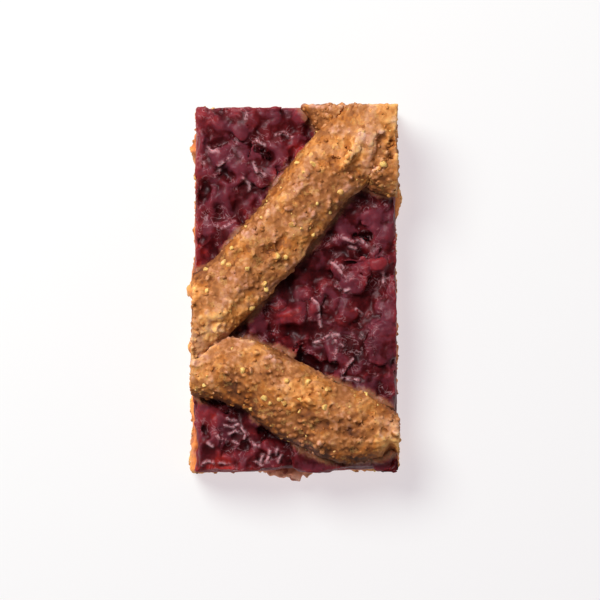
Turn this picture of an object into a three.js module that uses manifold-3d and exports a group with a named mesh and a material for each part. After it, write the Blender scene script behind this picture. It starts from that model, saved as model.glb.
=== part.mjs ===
// A linzer slice: a bar cut from a tray of linzer cake. A baked base of nut dough carries a layer of
// chunky cherry jam, and three rolls of the same dough, part of the tray's lattice, lie half sunk in
// the jam: a long one up to the far right corner, a short one below it, and the corner roll that the
// long one crosses. All four sides are knife cuts, so every layer and roll shows there.
// Millimetres. +X is across the bar, +Y along it, +Z up, and the bar rests on Z = 0.

import * as THREE from "three";
import { mergeVertices } from "three/addons/utils/BufferGeometryUtils.js";
import { ImprovedNoise } from "three/addons/math/ImprovedNoise.js";
import Module from "manifold-3d";

// ---- Driving dimensions ----

const SLICE_WIDTH = 48;
const SLICE_LENGTH = 88;
const FOOT_FLARE = 0.8; // each long side stands this much further out at the near end than at the far end
const FOOT_TRIM = 0.4; // how much of the baked underside the level foot takes off
const FOOT_SKEW = 1.4; // the near right corner is cut this much shorter than the near left one
const BASE_HEIGHT = 8;
const JAM_HEIGHT = 6;
const ROLL_HEIGHT = 10; // a lattice roll, from its underside to its crown
const ROLL_SINK = 3.2; // how far a roll has settled into the jam
const GAP = 0.3; // between neighbouring solids
const NUT_SIZE = 1.15; // half the length of a chopped nut

const BASE_TOP = BASE_HEIGHT;
const JAM_TOP = BASE_TOP + GAP + JAM_HEIGHT;
const ROLL_MIDDLE = JAM_TOP - ROLL_SINK + ROLL_HEIGHT / 2;
const CUT_TOP = JAM_TOP + 2 * ROLL_HEIGHT; // the knife's cut reaches above everything

// Each station of a roll's middle line is [x, y, half width, lift]. A roll starts and ends outside the
// bar, where the knife cuts it. The lift is above the height at which a roll lies on the jam.
const LONG_ROLL = {
  stations: [
    [-31, -13.5, 9.2, 0.6],
    [-23.5, -6.2, 8.8, 0.5],
    [-16, 0.2, 8.0, 0.2],
    [-9.5, 6.6, 7.7, 0],
    [-1.8, 16, 7.9, 0.2],
    [5, 25, 7.9, 0.6],
    [11.3, 31.5, 8.7, 1.4],
    [18.6, 38.0, 9.8, 2.0],
    [26.5, 45.8, 10.6, 1.9],
  ],
  // A crease where the dough was rolled shut: where it starts and ends along the roll, the angle
  // round the roll at each of these, and its depth.
  crease: { from: 0.22, to: 0.62, angles: [0.95, 0.7], depth: 0.9 },
  nuts: 24,
  seed: 11,
};
const SHORT_ROLL = {
  stations: [
    [-31, -16.5, 6.4, -0.6],
    [-22.5, -18.8, 6.9, -0.3],
    [-15, -18.9, 7.8, 0],
    [-8.4, -21, 8.2, 0.2],
    [-2.4, -25, 8.7, 0.4],
    [4.1, -28.8, 8.9, 0.3],
    [10.8, -31.9, 9.0, 0.2],
    [16.6, -33.2, 8.3, 0],
    [20.8, -33.9, 6.2, -0.7],
    [25, -34.6, 4.4, -1.6],
    [30, -35.6, 4.0, -2.0],
  ],
  crease: { from: 0.5, to: 0.86, angles: [1.2, 1.45], depth: 1.1 },
  nuts: 20,
  seed: 23,
};
const CORNER_ROLL = {
  stations: [
    [3.2, 53.2, 6.6, -0.4],
    [9.0, 45.4, 6.8, -0.6],
    [14.3, 36.4, 7.0, -0.6],
    [21.3, 30.4, 7.2, 0.2],
    [34, 28.4, 7.0, 0.4],
  ],
  crease: null,
  nuts: 7,
  seed: 37,
};

// Lumps of baked dough that stand out of the base's cut sides: the side, the place along it, how far
// the lump stands out, and its length.
const SIDE_LUMPS = [
  { side: "left", at: 34.5, out: 1.6, length: 4 },
  { side: "left", at: 0.5, out: 1.2, length: 7 },
  { side: "left", at: -13.8, out: 1.6, length: 5 },
  { side: "left", at: -22.6, out: 0.9, length: 3.5 },
  { side: "left", at: -28, out: 1.3, length: 4 },
  { side: "left", at: -41.5, out: 1.2, length: 6 },
  { side: "right", at: 39, out: 1.1, length: 4 },
  { side: "right", at: 22.6, out: 1.7, length: 8 },
  { side: "right", at: -33.2, out: 0.9, length: 5 },
  { side: "right", at: -41, out: 1.0, length: 4 },
  { side: "near", at: -1.2, out: 2.0, length: 12 },
  { side: "near", at: 16.8, out: 0.9, length: 8 },
];
// Stretches where the jam stops short of the base's cut side and leaves a ledge of dough.
const JAM_LEDGES = [
  { side: "left", at: -34, out: -1.5, length: 24 },
  { side: "right", at: -37, out: -1.5, length: 13 },
  { side: "near", at: -1, out: -0.8, length: 14 },
];

// ---- Chance and relief, the same on every run ----

const perlin = new ImprovedNoise();
const NOISE_SHIFT = 0.37; // keeps lattice points, where the noise is zero, off round coordinates

// Smooth noise from about -1 to 1 whose bumps are about `size` across.
function bumps(x, y, z, size, seed = 0) {
  return perlin.noise(x / size + NOISE_SHIFT + seed, y / size - NOISE_SHIFT, z / size + seed);
}

// A repeatable random sequence from 0 to 1.
function randomFrom(seed) {
  let state = seed;
  return () => {
    state = (state * 1664525 + 1013904223) % 4294967296;
    return state / 4294967296;
  };
}

// A rounded rise of height 1 at `at`, falling to almost nothing half of `length` away.
function rise(value, at, length) {
  return Math.exp(-(((value - at) / (0.42 * length)) ** 2));
}

// ---- three.js geometry to solids and back ----

const wasm = await Module();
wasm.setup();

// The geometry as one closed skin, each point of which `move` has put in its place.
function shaped(geometry, move) {
  geometry.deleteAttribute("normal");
  geometry.deleteAttribute("uv");
  const skin = mergeVertices(geometry, 1e-4);
  const places = skin.getAttribute("position");
  const point = new THREE.Vector3();
  for (let i = 0; i < places.count; i++) {
    point.fromBufferAttribute(places, i);
    move(point);
    places.setXYZ(i, point.x, point.y, point.z);
  }
  return skin;
}

function solidOf(geometry) {
  return new wasm.Manifold(
    new wasm.Mesh({
      numProp: 3,
      vertProperties: new Float32Array(geometry.getAttribute("position").array),
      triVerts: new Uint32Array(geometry.index.array),
    }),
  );
}

function meshOf(name, solid, material) {
  const { vertProperties, triVerts } = solid.getMesh();
  const geometry = new THREE.BufferGeometry();
  geometry.setAttribute("position", new THREE.BufferAttribute(vertProperties, 3));
  geometry.setIndex(new THREE.BufferAttribute(triVerts, 1));
  geometry.computeVertexNormals();
  const mesh = new THREE.Mesh(geometry, material);
  mesh.name = name;
  return mesh;
}

// ---- The block that the knife cuts ----

const FAR = SLICE_LENGTH / 2;
const NEAR = -SLICE_LENGTH / 2;

// Where the cut outline is at u across and v along, both from 0 to 1.
function outlinePoint(u, v) {
  const halfWidth = SLICE_WIDTH / 2 + FOOT_FLARE * (1 - v);
  const near = NEAR + FOOT_SKEW * u;
  return { x: (2 * u - 1) * halfWidth, y: THREE.MathUtils.lerp(near, FAR, v) };
}

// How far the listed lumps or ledges push a side outwards at a place along it.
function listedPush(list, side, along) {
  return list
    .filter((entry) => entry.side === side)
    .reduce((sum, entry) => sum + entry.out * rise(along, entry.at, entry.length), 0);
}

// A block with the slice's cut outline. `low` and `high` give its underside and top at (x, y),
// `push(side, along, z)` moves a cut side outwards, and `edge` rounds its lower and upper rims.
function cutBlock({ across, along, up, low, high, push, edge }) {
  return shaped(new THREE.BoxGeometry(1, 1, 1, across, along, up), (point) => {
    const [u, v, w] = [point.x + 0.5, point.y + 0.5, point.z + 0.5];
    const { x, y } = outlinePoint(u, v);
    const z = THREE.MathUtils.lerp(low(x, y), high(x, y), w);
    const rim = edge * Math.abs(2 * w - 1) ** 6;
    point.set(x, y, z);
    if (u === 0) point.x -= push("left", y, z) - rim;
    if (u === 1) point.x += push("right", y, z) - rim;
    if (v === 0) point.y -= push("near", x, z) - rim;
    if (v === 1) point.y += push("far", x, z) - rim;
  });
}

const SIDE_SEEDS = { left: 1, right: 2, near: 3, far: 4 };

// ---- Base ----

const WAVER = 0.9; // how far the top may waver where a cut side shows it
const LIP_SLOPE = 1.3; // how far the dough climbs a side for each millimetre that the jam stops short

// The base is level inside the slice. Its top wavers where the cut sides show it, and it climbs to a
// lip along each ledge.
function baseTop(x, y) {
  const outwards = Math.max(Math.abs(x) / (SLICE_WIDTH / 2), Math.abs(y) / FAR);
  const side = x < 0 ? "left" : "right";
  const lip = -LIP_SLOPE * listedPush(JAM_LEDGES, side, y);
  const climb = lip * THREE.MathUtils.smoothstep(Math.abs(x) / (SLICE_WIDTH / 2), 0.88, 1);
  const waver = WAVER * bumps(x, y, 0, 9, 5) * THREE.MathUtils.smoothstep(outwards, 0.84, 1);
  return BASE_TOP + waver + climb;
}

function basePush(side, along, z) {
  const seed = SIDE_SEEDS[side] * 7.3;
  const crumble = 0.55 * bumps(along, z, 0, 4.6, seed) + 0.4 * bumps(along, z, 0, 2.3, seed + 3);
  const lump = listedPush(SIDE_LUMPS, side, along) * rise(z, 0.45 * BASE_HEIGHT, 1.5 * BASE_HEIGHT);
  return crumble + lump;
}

// The block starts below the foot plane, at which the slice is then cut level.
const baseBlock = {
  across: 17,
  along: 32,
  up: 4,
  low: () => -FOOT_TRIM,
  high: baseTop,
  push: basePush,
  edge: 0.5,
};

// ---- Jam ----

const FRUIT_PITCH = 6.2; // spacing of the pieces of fruit
const FRUIT_RISE = 2.6; // how far the proudest piece stands up

// A number from 0 to 1 that belongs to one cell of the fruit's spacing.
function cellChance(column, row, salt) {
  const value = Math.sin(column * 127.1 + row * 311.7 + salt * 74.7) * 43758.5453;
  return value - Math.floor(value);
}

// Height of the domed pieces of fruit over the jam at (x, y): the tallest dome that covers the point.
function fruitHeight(x, y) {
  const column = Math.floor(x / FRUIT_PITCH);
  const row = Math.floor(y / FRUIT_PITCH);
  let tallest = 0;
  for (let i = column - 1; i <= column + 1; i++) {
    for (let j = row - 1; j <= row + 1; j++) {
      const dx = x - (i + cellChance(i, j, 1)) * FRUIT_PITCH;
      const dy = y - (j + cellChance(i, j, 2)) * FRUIT_PITCH;
      const turn = Math.PI * cellChance(i, j, 3);
      const long = FRUIT_PITCH * (0.55 + 0.35 * cellChance(i, j, 4));
      const short = long * (0.55 + 0.3 * cellChance(i, j, 5));
      const a = (dx * Math.cos(turn) + dy * Math.sin(turn)) / long;
      const b = (dy * Math.cos(turn) - dx * Math.sin(turn)) / short;
      const dome = 1 - a * a - b * b;
      tallest = Math.max(tallest, dome * (0.45 + 0.55 * cellChance(i, j, 6)));
    }
  }
  return FRUIT_RISE * tallest;
}

function jamTop(x, y) {
  return JAM_TOP - 0.5 * FRUIT_RISE + fruitHeight(x, y) + 0.7 * bumps(x, y, 0, 8, 9);
}

function jamPush(side, along, z) {
  const seed = SIDE_SEEDS[side] * 5.1;
  return listedPush(JAM_LEDGES, side, along) + 0.35 * bumps(along, z, 0, 5, seed);
}

// The block reaches down into the base, whose shape is then cut out of it.
const jamBlock = {
  across: 25,
  along: 47,
  up: 2,
  low: () => BASE_TOP - WAVER,
  high: jamTop,
  push: jamPush,
  edge: 0.45,
};

// ---- Lattice rolls ----

const UNDERSIDE_FLATTENING = 0.72; // the lower half of a roll's section is squashed against the jam

// The curves that a roll's stations give: its middle line, and its half width and lift along it.
function rollCurves(roll) {
  const line = new THREE.CatmullRomCurve3(
    roll.stations.map(([x, y, , lift]) => new THREE.Vector3(x, y, ROLL_MIDDLE + lift)),
    false,
    "centripetal",
  );
  const widths = new THREE.SplineCurve(
    roll.stations.map(([, , halfWidth], i) => new THREE.Vector2(i, halfWidth)),
  );
  return { line, halfWidth: (t) => widths.getPoint(t).y };
}

// How deep the roll's crease is at t along it and an angle round it, where 0 is its right flank as
// it is laid and a quarter turn is its crown.
function creaseDepth(crease, t, angle) {
  if (!crease || t < crease.from || t > crease.to) {
    return 0;
  }
  const share = (t - crease.from) / (crease.to - crease.from);
  const middle = THREE.MathUtils.lerp(...crease.angles, share);
  return crease.depth * Math.sin(Math.PI * share) * rise(angle, middle, 0.5);
}

// A point of the roll's skin, `grow` outside its true size. A smooth roll has no lumps or crease.
function rollPoint(roll, curves, t, angle, grow, smooth) {
  const middle = curves.line.getPoint(t);
  const ahead = curves.line.getTangent(t);
  const side = new THREE.Vector3(ahead.y, -ahead.x, 0).normalize();
  const up = Math.sin(angle) < 0 ? Math.sin(angle) * UNDERSIDE_FLATTENING : Math.sin(angle);
  const outward = side
    .clone()
    .multiplyScalar(Math.cos(angle) * curves.halfWidth(t))
    .add(new THREE.Vector3(0, 0, (up * ROLL_HEIGHT) / 2));
  const rest = middle.clone().add(outward);
  const upper = THREE.MathUtils.smoothstep(Math.sin(angle), -0.15, 0.35);
  const relief = smooth
    ? 0
    : upper *
      (1.1 * bumps(rest.x, rest.y, rest.z, 7, roll.seed) +
        0.75 * bumps(rest.x, rest.y, rest.z, 3.2, roll.seed + 2) -
        creaseDepth(roll.crease, t, angle));
  return rest.add(outward.normalize().multiplyScalar(grow + relief));
}

// A closed roll: a cylinder whose sides are wrapped round the roll's middle line.
function rollSolid(roll, { around, along, grow = 0, smooth = false }) {
  const curves = rollCurves(roll);
  const geometry = shaped(new THREE.CylinderGeometry(1, 1, 1, around, along), (point) => {
    const t = THREE.MathUtils.clamp(point.y + 0.5, 0, 1);
    const onAxis = Math.hypot(point.x, point.z) < 0.5;
    if (onAxis) {
      point.copy(curves.line.getPoint(t));
    } else {
      point.copy(rollPoint(roll, curves, t, Math.atan2(point.z, point.x), grow, smooth));
    }
  });
  return solidOf(geometry);
}

// ---- Chopped nuts ----

// One chip, `grow` outside its true size: a rough lump that stands half out of the roll's skin.
function nutSolid(place, random, grow) {
  const stretch = new THREE.Vector3(1, 0.6 + 0.3 * random(), 0.5 + 0.3 * random());
  const size = NUT_SIZE * (0.7 + 0.5 * random());
  const turn = new THREE.Euler(Math.PI * random(), Math.PI * random(), Math.PI * random());
  const chip = shaped(new THREE.IcosahedronGeometry(1, 0), (point) => {
    const outward = point.clone();
    point.multiply(stretch).multiplyScalar(size).addScaledVector(outward, grow);
    point.applyEuler(turn).add(place);
  });
  return solidOf(chip);
}

// The roll with its chips, `grow` outside their true size, fused to what shows of it, spread evenly.
function withNuts(solid, roll, grow = 0) {
  const random = randomFrom(roll.seed);
  const curves = rollCurves(roll);
  let made = solid;
  for (let i = 0; i < roll.nuts; i++) {
    const t = (i + 0.2 + 0.6 * random()) / roll.nuts;
    const angle = Math.PI * (0.2 + 0.6 * random());
    const place = rollPoint(roll, curves, t, angle, -0.15, false);
    made = made.add(nutSolid(place, random, grow));
  }
  return made;
}

// ---- The slice ----

const bakedDough = () =>
  new THREE.MeshStandardMaterial({ color: 0xb06a35, roughness: 0.85, metalness: 0 });
const cherryJam = () =>
  new THREE.MeshStandardMaterial({ color: 0x5e1526, roughness: 0.3, metalness: 0 });

// Everything below the plane that the slice rests on.
function floorSolid() {
  const floor = new THREE.BoxGeometry(2 * SLICE_WIDTH, 2 * SLICE_LENGTH, BASE_HEIGHT);
  floor.translate(0, 0, -BASE_HEIGHT / 2);
  return solidOf(shaped(floor, () => {}));
}

function sliceMeshes() {
  const base = solidOf(cutBlock(baseBlock)).subtract(floorSolid());
  const knifeCut = solidOf(
    cutBlock({
      across: 16,
      along: 30,
      up: 8,
      low: () => BASE_TOP,
      high: () => CUT_TOP,
      push: (side, along, z) => 0.1 + 0.5 * bumps(along, z, 0, 4, SIDE_SEEDS[side] * 3.7),
      edge: 0,
    }),
  );
  const cutRoll = (roll, around, along) =>
    withNuts(rollSolid(roll, { around, along }), roll).intersect(knifeCut);
  const bed = (roll) => rollSolid(roll, { around: 14, along: 18, grow: 2 * GAP, smooth: true });

  const longRoll = cutRoll(LONG_ROLL, 22, 42);
  const grownLong = rollSolid(LONG_ROLL, { around: 22, along: 42, grow: GAP });
  const roomForLong = withNuts(grownLong, LONG_ROLL, GAP);
  const shortRoll = cutRoll(SHORT_ROLL, 22, 36).subtract(roomForLong);
  const cornerRoll = cutRoll(CORNER_ROLL, 18, 18).subtract(roomForLong);
  const jam = solidOf(cutBlock(jamBlock))
    .subtract(base.translate([0, 0, GAP]))
    .subtract(bed(LONG_ROLL))
    .subtract(bed(SHORT_ROLL))
    .subtract(bed(CORNER_ROLL));
  return [
    meshOf("dough_base", base, bakedDough()),
    meshOf("cherry_jam", jam, cherryJam()),
    meshOf("long_roll", longRoll, bakedDough()),
    meshOf("short_roll", shortRoll, bakedDough()),
    meshOf("corner_roll", cornerRoll, bakedDough()),
  ];
}

// The bar stands with the middle of its box over the origin.
const slice = new THREE.Group();
slice.add(...sliceMeshes());
const box = new THREE.Box3().setFromObject(slice);
slice.position.set(-(box.min.x + box.max.x) / 2, -(box.min.y + box.max.y) / 2, -box.min.z);

export default slice;
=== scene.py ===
"""A linzer slice, modelled round its fixed frame: a baked base, cherry jam full of fruit, three rolls of
nut dough, chopped nuts and crumbs, on a plain pale floor. Metres; +X across the bar, +Y along it, +Z up."""

import random
from itertools import accumulate

import bpy
import numpy as np
from mathutils import Euler, Matrix, Vector
from mathutils.bvhtree import BVHTree


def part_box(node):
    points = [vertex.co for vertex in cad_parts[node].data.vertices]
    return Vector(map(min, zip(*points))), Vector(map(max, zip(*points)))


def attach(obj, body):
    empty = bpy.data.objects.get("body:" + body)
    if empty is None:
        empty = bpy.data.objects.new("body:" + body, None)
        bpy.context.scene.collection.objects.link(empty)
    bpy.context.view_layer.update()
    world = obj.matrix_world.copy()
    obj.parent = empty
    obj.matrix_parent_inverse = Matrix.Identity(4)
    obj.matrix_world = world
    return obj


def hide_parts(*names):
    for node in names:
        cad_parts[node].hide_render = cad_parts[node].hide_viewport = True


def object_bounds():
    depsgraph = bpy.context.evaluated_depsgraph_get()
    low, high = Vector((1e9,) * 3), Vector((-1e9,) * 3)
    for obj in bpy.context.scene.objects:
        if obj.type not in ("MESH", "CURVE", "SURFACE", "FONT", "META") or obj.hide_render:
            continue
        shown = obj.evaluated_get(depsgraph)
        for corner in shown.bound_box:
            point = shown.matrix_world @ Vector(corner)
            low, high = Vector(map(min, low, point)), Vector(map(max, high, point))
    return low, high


bl_info = {
    "name": "Linzer Slice",
    "version": (1, 0, 0),
    "blender": (4, 5, 0),
    "location": "3D View > Sidebar > Linzer Slice",
    "description": "Models a linzer slice: baked base, cherry jam, dough rolls, nuts and crumbs",
    "category": "Add Mesh",
}

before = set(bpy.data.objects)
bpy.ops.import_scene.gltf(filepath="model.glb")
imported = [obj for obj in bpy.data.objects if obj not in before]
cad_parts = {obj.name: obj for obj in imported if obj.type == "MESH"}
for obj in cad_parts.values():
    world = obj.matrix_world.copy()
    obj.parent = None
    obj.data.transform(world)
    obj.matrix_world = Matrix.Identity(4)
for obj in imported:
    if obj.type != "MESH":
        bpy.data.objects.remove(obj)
CAD_LOW, CAD_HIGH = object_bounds()

MM = 0.001
PHOTO_PIXEL = 0.24 * MM  # what one pixel of the photograph covers at the height of the jam
PHOTO_ORIGIN = (295.2, 292.3)  # the pixel that shows the frame's origin
PHOTO_MIDDLE = (300, 300)
PHOTO_WIDTH = 600
FULL_TURN = 6.28  # in radians
MOST_TRIANGLES = 190_000  # in one piece
PRESSED = 0.7  # the share by which what stands too high is lowered
TEN_SQUARE_CM = 0.001
DOWN = Vector((0, 0, -1))
STRAIGHT_UP = 1.01  # just past the steepest normal, so that a face that looks straight up counts too

ABOVE_ALL = CAD_HIGH.z + 10 * MM  # where the rays that find the top of a piece start
ROLLS = ("long_roll", "short_roll", "corner_roll")
JAM_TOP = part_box("long_roll")[0].z + 1.8 * MM  # the rolls have sunk this deep into the jam


def at_pixel(pixel):
    """The place across and along the bar that a pixel of the photograph shows."""
    return (pixel[0] - PHOTO_ORIGIN[0]) * PHOTO_PIXEL, (PHOTO_ORIGIN[1] - pixel[1]) * PHOTO_PIXEL


# ---- Settings in the sidebar ----


def length(name, description, millimetres):
    return bpy.props.FloatProperty(
        name=name, description=description, default=millimetres * MM, min=0.0, precision=5, unit="LENGTH"
    )


def colour(name, description, value):
    return bpy.props.FloatVectorProperty(
        name=name, description=description, default=value, min=0.0, max=1.0, size=3, subtype="COLOR"
    )


def number(name, description, value):
    return bpy.props.IntProperty(name=name, description=description, default=value, min=0)


def fraction(name, description, value):
    return bpy.props.FloatProperty(
        name=name, description=description, default=value, min=0.0, subtype="FACTOR"
    )


class DoughSettings(bpy.types.PropertyGroup):
    """Grain and colours of the baked dough."""

    voxel: length("Mesh Size", "Spacing of the mesh on the rolls", 0.26)
    base_voxel: length("Base Mesh Size", "Spacing of the mesh on the base", 0.36)
    grain: length("Grain", "Size of the crumbs that the dough is made of", 1.25)
    grain_depth: length("Grain Depth", "How far the crumbs stand out", 0.21)
    nodules: number("Nodules", "Lumps of dough for each 10 cm²", 560)
    nodule_size: length("Nodule Size", "Half the width of a large lump", 0.8)
    lump_depth: length("Lump Depth", "How far the roll's surface wanders in and out", 1.1)
    pit_depth: length("Pit Depth", "Depth of the small holes in the dough", 0.3)
    # The darkest dough colour: painted shade deep between the crumbs and in the hollows.
    crevice_shade: colour("Crevice", "Colour deep between the crumbs", (0.090, 0.026, 0.009))
    shade: colour("Shade", "Colour of the darker dough", (0.238, 0.072, 0.017))
    crust: colour("Crust", "Main colour of the baked crust", (0.437, 0.158, 0.042))
    blush: colour("Blush", "Colour of the lighter patches", (0.668, 0.308, 0.138))
    fleck: colour("Fleck", "Colour of the lightest crumbs", (0.910, 0.550, 0.300))


class JamSettings(bpy.types.PropertyGroup):
    """Fruit and colours of the jam."""

    voxel: length("Mesh Size", "Spacing of the mesh on the jam", 0.3)
    fruit_pitch: length("Fruit Pitch", "Spacing of the pieces of fruit", 6.4)
    fruit_size: length("Fruit Size", "Half the length of a large piece of fruit", 5.4)
    mound_depth: length("Mound Depth", "How far the jam's surface rises and falls", 2.4)
    skin_depth: length("Skin Depth", "Depth of the creases between the cherries' skins", 1.1)
    wrinkle_depth: length("Wrinkle Depth", "Height of the wrinkles in the skins", 0.28)
    seed: number("Seed", "Changes how the fruit lies", 5)
    # The jam's darkest colour, for thick jam and for the painted shade in its hollows and basins.
    deep: colour("Deep", "Colour of thick jam in hollows", (0.022, 0.0006, 0.0012))
    body: colour("Body", "Main colour of the jam", (0.074, 0.0040, 0.0058))
    fruit: colour("Fruit", "Colour of the fruit's flesh", (0.150, 0.011, 0.014))
    # The skins' pale plum colour is partly their bloom and partly painted sheen.
    skin: colour("Skin", "Colour of the bloom on the fruit's skins", (0.165, 0.032, 0.052))
    thin: colour("Thin", "Colour where light comes through", (0.320, 0.018, 0.014))
    # The pale threads' colour is partly pulp and partly painted glints.
    thread: colour("Thread", "Colour of the pale threads of pulp", (0.760, 0.430, 0.460))
    # The smeared dough's colour is kept light as painted light where the rolls' shade falls on the jam.
    smear_and_light: colour("Smear", "Colour of the dough that is smeared in the jam", (0.360, 0.150, 0.070))


class ToppingSettings(bpy.types.PropertyGroup):
    """Chopped nuts and crumbs."""

    nut_size: length("Nut Size", "Half the length of a large bit of nut", 1.05)
    nuts: number("Nuts", "Bits of nut in the rolls", 80)
    side_nuts: number("Side Nuts", "Bits of nut in the base", 110)
    crumb_size: length("Crumb Size", "Half the length of a large crumb", 0.75)
    crumbs: number("Crumbs", "Crumbs on the base, and as many on the rolls", 260)
    seed: number("Seed", "Changes where nuts and crumbs lie", 8)
    nut: colour("Nut", "Colour of a cut nut", (0.900, 0.580, 0.170))
    toasted: colour("Toasted", "Colour of a nut's toasted edge", (0.620, 0.290, 0.070))


class StageSettings(bpy.types.PropertyGroup):
    """Floor, light and camera."""

    lens: bpy.props.FloatProperty(name="Lens", description="Focal length", default=200.0, unit="CAMERA")
    key: bpy.props.FloatProperty(
        name="Key Light", description="Power of the softbox", default=4.6, unit="POWER"
    )
    key_size: length("Key Size", "Width of the softbox", 340)
    room: fraction("Room Light", "Strength of the white room", 0.23)
    overhead: fraction("Overhead", "Share of it from overhead", 0.3)
    floor: colour("Floor", "Colour of the floor's sheet", (0.33, 0.37, 0.34))
    glow: colour("Floor Glow", "Light that comes up through the sheet", (0.63, 0.577, 0.607))


# ---- Modelling by hand, step by step ----


def select_only(piece):
    bpy.ops.object.select_all(action="DESELECT")
    piece.select_set(True)
    bpy.context.view_layer.objects.active = piece


def edit(piece, step, **settings):
    """One edit-mode operator on the whole of a piece."""
    select_only(piece)
    bpy.ops.object.mode_set(mode="EDIT")
    bpy.ops.mesh.select_all(action="SELECT")
    step(**settings)
    bpy.ops.object.mode_set(mode="OBJECT")


def shape_by(piece, kind, **settings):
    """Adds a modifier and applies it."""
    select_only(piece)
    modifier = piece.modifiers.new(kind.title(), kind)
    for name, value in settings.items():
        setattr(modifier, name, value)
    bpy.ops.object.modifier_apply(modifier=modifier.name)


def remesh(piece, voxel):
    shape_by(piece, "REMESH", mode="VOXEL", voxel_size=voxel, use_smooth_shade=True)


def keep_under(piece, triangles):
    """Thins a mesh, flat places first, until it has no more than this many triangles."""
    count = sum(len(face.vertices) - 2 for face in piece.data.polygons)
    if count > triangles:
        shape_by(piece, "DECIMATE", ratio=triangles / count)


def texture(name, kind, **settings):
    made = bpy.data.textures.new(name, kind)
    for key, value in settings.items():
        setattr(made, key, value)
    return made


def only_above(pattern, start, end):
    """Makes a texture zero up to `start` of its range and full from `end` on."""
    pattern.use_color_ramp = True
    stops = pattern.color_ramp.elements
    stops[0].position, stops[0].color = start, (0, 0, 0, 1)
    stops[1].position, stops[1].color = end, (1, 1, 1, 1)
    return pattern


def relief(piece, pattern, depth, middle=0.5, where=""):
    """Pushes a piece's surface in and out by a texture, or evenly where there is none."""
    shape_by(
        piece, "DISPLACE", texture=pattern, texture_coords="LOCAL", strength=depth, mid_level=middle,
        vertex_group=where,
    )


def places(mesh):
    """The corners of a mesh as rows of x, y and z."""
    values = np.empty(len(mesh.vertices) * 3)
    mesh.vertices.foreach_get("co", values)
    return values.reshape(-1, 3)


def normals_of(mesh):
    """The directions that the corners of a mesh face, as rows of x, y and z."""
    values = np.empty(len(mesh.vertices) * 3)
    mesh.vertex_normals.foreach_get("vector", values)
    return values.reshape(-1, 3)


def move_to(mesh, values):
    mesh.vertices.foreach_set("co", values.astype(np.float32).ravel())
    mesh.update()


WEIGHT_STEPS = 20  # a weight from 0 to 1 is rounded to one of these steps


def weigh(piece, name, weights):
    """Stores a number from 0 to 1 for each corner as a vertex group."""
    group = piece.vertex_groups.new(name=name)
    steps = np.round(np.clip(weights, 0, 1) * WEIGHT_STEPS).astype(int)
    for step in range(1, WEIGHT_STEPS + 1):
        group.add(np.flatnonzero(steps == step).tolist(), step / WEIGHT_STEPS, "REPLACE")


def ramp(values, start, end):
    """0 up to start, 1 from end on, and smooth between them."""
    share = np.clip((values - start) / (end - start), 0, 1)
    return share * share * (3 - 2 * share)


def store(piece, name, values):
    """Stores a number for each corner as an attribute."""
    attribute = piece.data.attributes.new(name, "FLOAT", "POINT")
    attribute.data.foreach_set("value", values.astype(np.float32))


def closeness(corners, nodes, reach):
    """1 for a corner that touches one of the frame's solids, falling to 0 at `reach` from it."""
    away = np.full(len(corners), reach)
    for node in nodes:
        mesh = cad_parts[node].data
        sides = [face.vertices for face in mesh.polygons]
        skin = BVHTree.FromPolygons([corner.co for corner in mesh.vertices], sides)
        for i, corner in enumerate(corners):
            place, _, _, distance = skin.find_nearest(corner, away[i])
            if place:
                away[i] = distance
    return 1 - away / reach


def mark_hollows(piece, name, rounds):
    """Stores how far each corner lies below its surroundings, in millimetres, as an attribute."""
    mesh = piece.data
    ends = np.empty(len(mesh.edges) * 2, dtype=np.int64)
    mesh.edges.foreach_get("vertices", ends)
    first, second = ends[0::2], ends[1::2]
    count = len(mesh.vertices)
    neighbours = np.bincount(first, minlength=count) + np.bincount(second, minlength=count)
    start = places(mesh)
    smooth = start.copy()
    for _ in range(rounds):
        total = np.empty_like(smooth)
        for axis in range(3):
            value = smooth[:, axis]
            total[:, axis] = np.bincount(first, value[second], count)
            total[:, axis] += np.bincount(second, value[first], count)
        smooth = total / neighbours[:, None]
    store(piece, name, ((smooth - start) * normals_of(mesh)).sum(axis=1) / MM)


def copy_of_node(node, name):
    """A copy of a frame node as a new piece, its loose triangles merged to one skin."""
    piece = bpy.data.objects.new(name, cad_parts[node].data.copy())
    bpy.context.scene.collection.objects.link(piece)
    piece.data.materials.clear()
    edit(piece, bpy.ops.mesh.remove_doubles, threshold=0.001 * MM)
    return piece


def copy_of(kind, place, turn, size):
    """A copy of a modelled piece with a mesh of its own, put in its place in the mesh."""
    piece = bpy.data.objects.new(kind.name, kind.data.copy())
    bpy.context.scene.collection.objects.link(piece)
    piece.data.transform(Matrix.LocRotScale(place, turn, size))
    return piece


def any_turn(chance):
    return Euler([FULL_TURN * chance.random() for _ in range(3)])


def join(pieces, name):
    select_only(pieces[0])
    for piece in pieces:
        piece.select_set(True)
    bpy.ops.object.join()
    joined = bpy.context.view_layer.objects.active
    joined.name = name
    joined.data.name = name
    return joined


def clear_away(pieces):
    for piece in pieces:
        bpy.data.objects.remove(piece)


def settle(piece, material, nodes=()):
    """The last step of each piece: its finish, and where it belongs in the frame."""
    edit(piece, bpy.ops.mesh.normals_make_consistent, inside=False)
    piece.data.materials.clear()
    piece.data.materials.append(material)
    select_only(piece)
    bpy.ops.object.shade_smooth()
    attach(piece, "root")
    if nodes:
        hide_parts(*nodes)


def faces_between(pieces, lowest_up, highest_up):
    """Middle, normal and area of the faces that look upwards at least and at most this much."""
    return [
        (face.center.copy(), face.normal.copy(), face.area)
        for piece in pieces
        for face in piece.data.polygons
        if lowest_up < face.normal.z < highest_up
    ]


def spots_on(faces, count, chance):
    """Places spread evenly over faces, each with its normal."""
    reach = list(accumulate(area for _, _, area in faces))
    return [faces[i][:2] for i in chance.choices(range(len(faces)), cum_weights=reach, k=count)]


# ---- Finishes ----


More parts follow.
